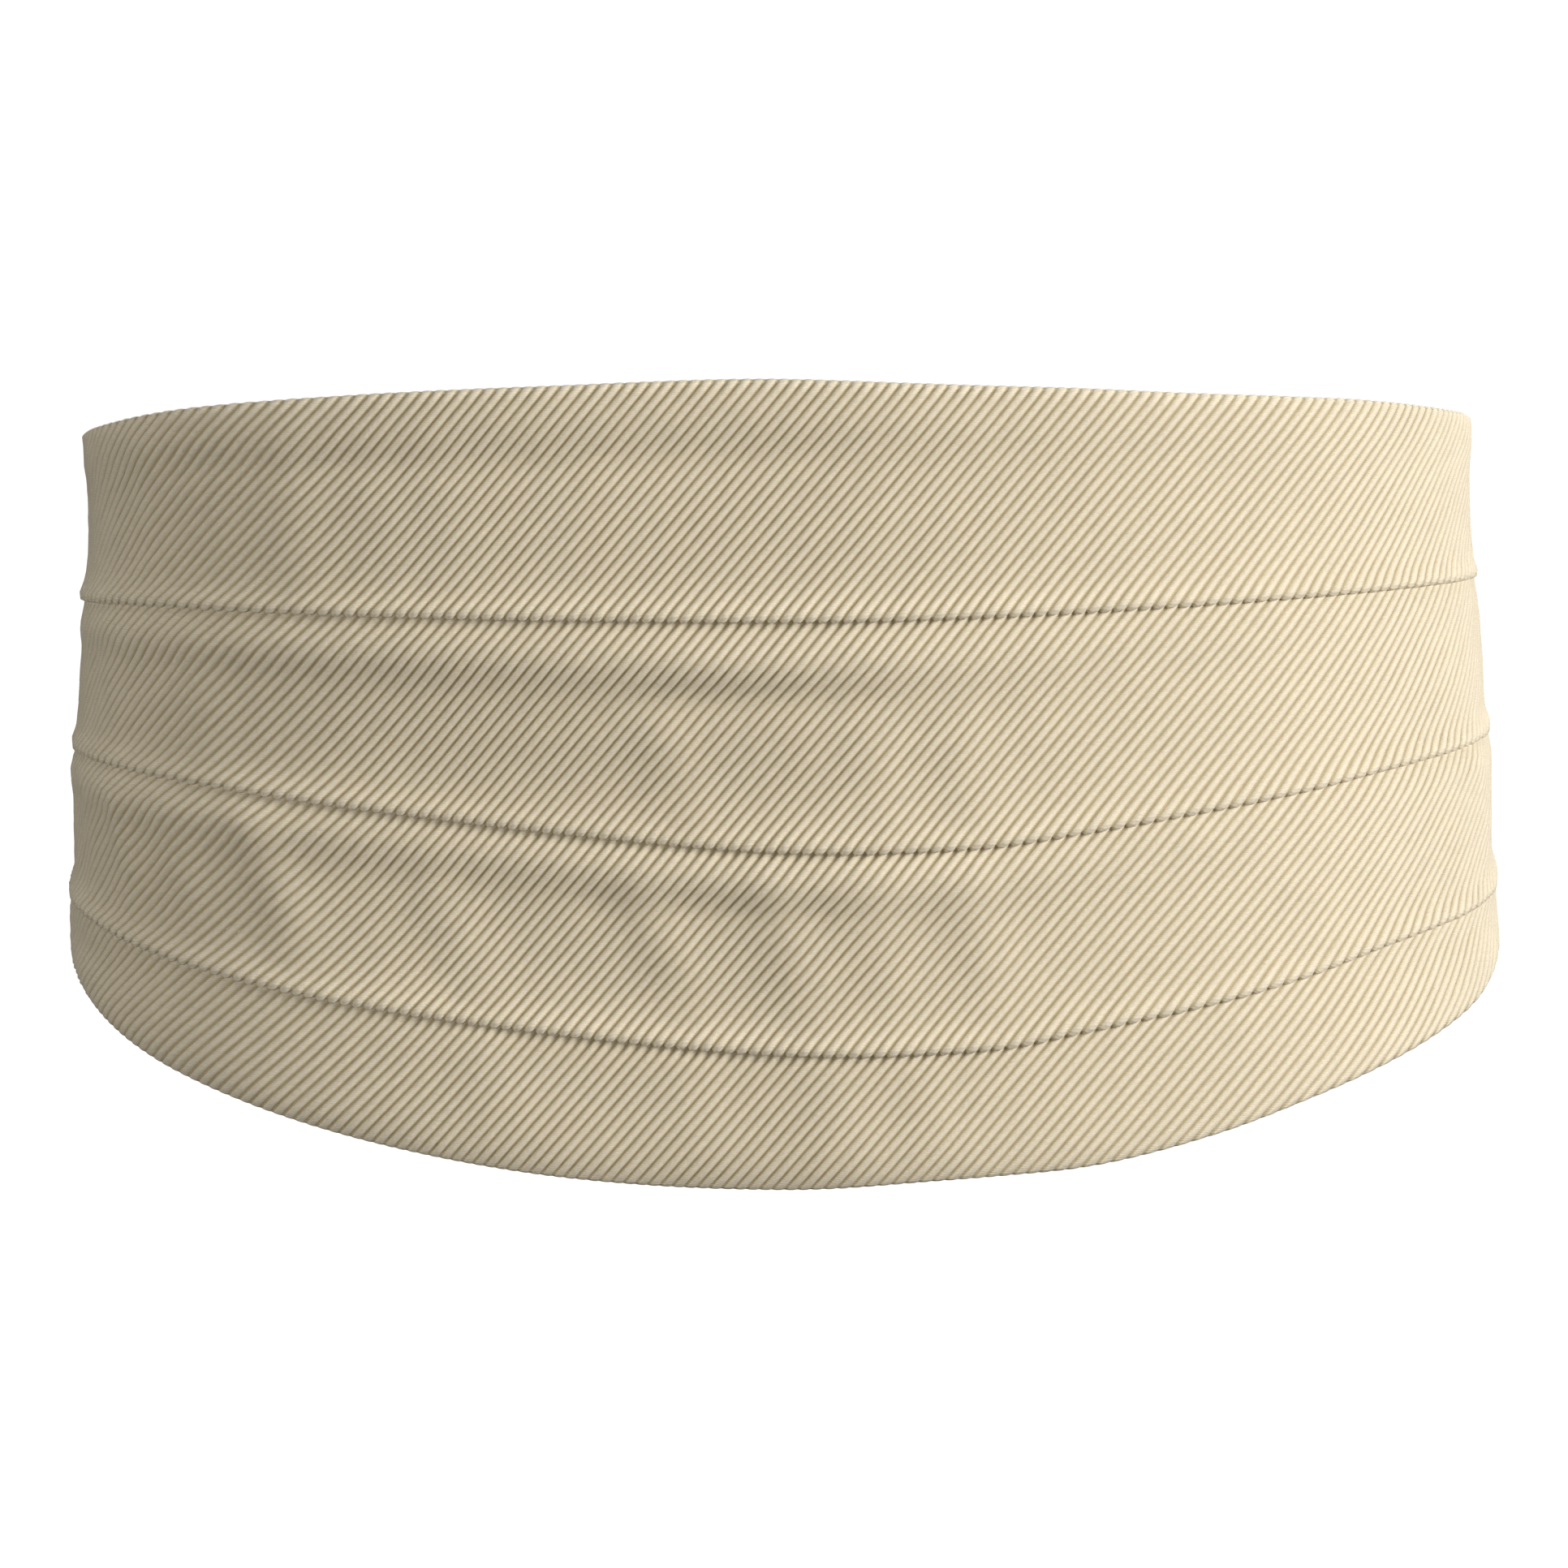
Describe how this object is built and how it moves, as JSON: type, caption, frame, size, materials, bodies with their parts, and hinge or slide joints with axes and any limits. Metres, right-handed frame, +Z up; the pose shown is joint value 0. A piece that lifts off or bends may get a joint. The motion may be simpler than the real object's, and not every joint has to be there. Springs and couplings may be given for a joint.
{
  "type": "cummerbund",
  "caption": "Waist sash in its worn, hollow form: deep pleats folded downwards across the front, narrowing ends, and short back straps fastened by a hook and eye.",
  "frame": {"origin": "centre of the waist that the garment goes round, halfway up the front", "axes": "+Z up, -Y out of the front of the garment, +X towards the wearer's left"},
  "size_m": [0.2904, 0.2054, 0.1511],
  "materials": {
    "rib_cloth": "cream diagonal rib with a slight sheen",
    "strap_cloth": "cream diagonal rib with a slight sheen",
    "clasp_metal": "nickel plated, satin"
  },
  "bodies": {
    "root": {"pleated_front": "rib_cloth", "back_strap_left": "strap_cloth", "back_strap_right": "strap_cloth", "clasp_hook": "clasp_metal", "clasp_eye": "clasp_metal"}
  },
  "joints": []
}
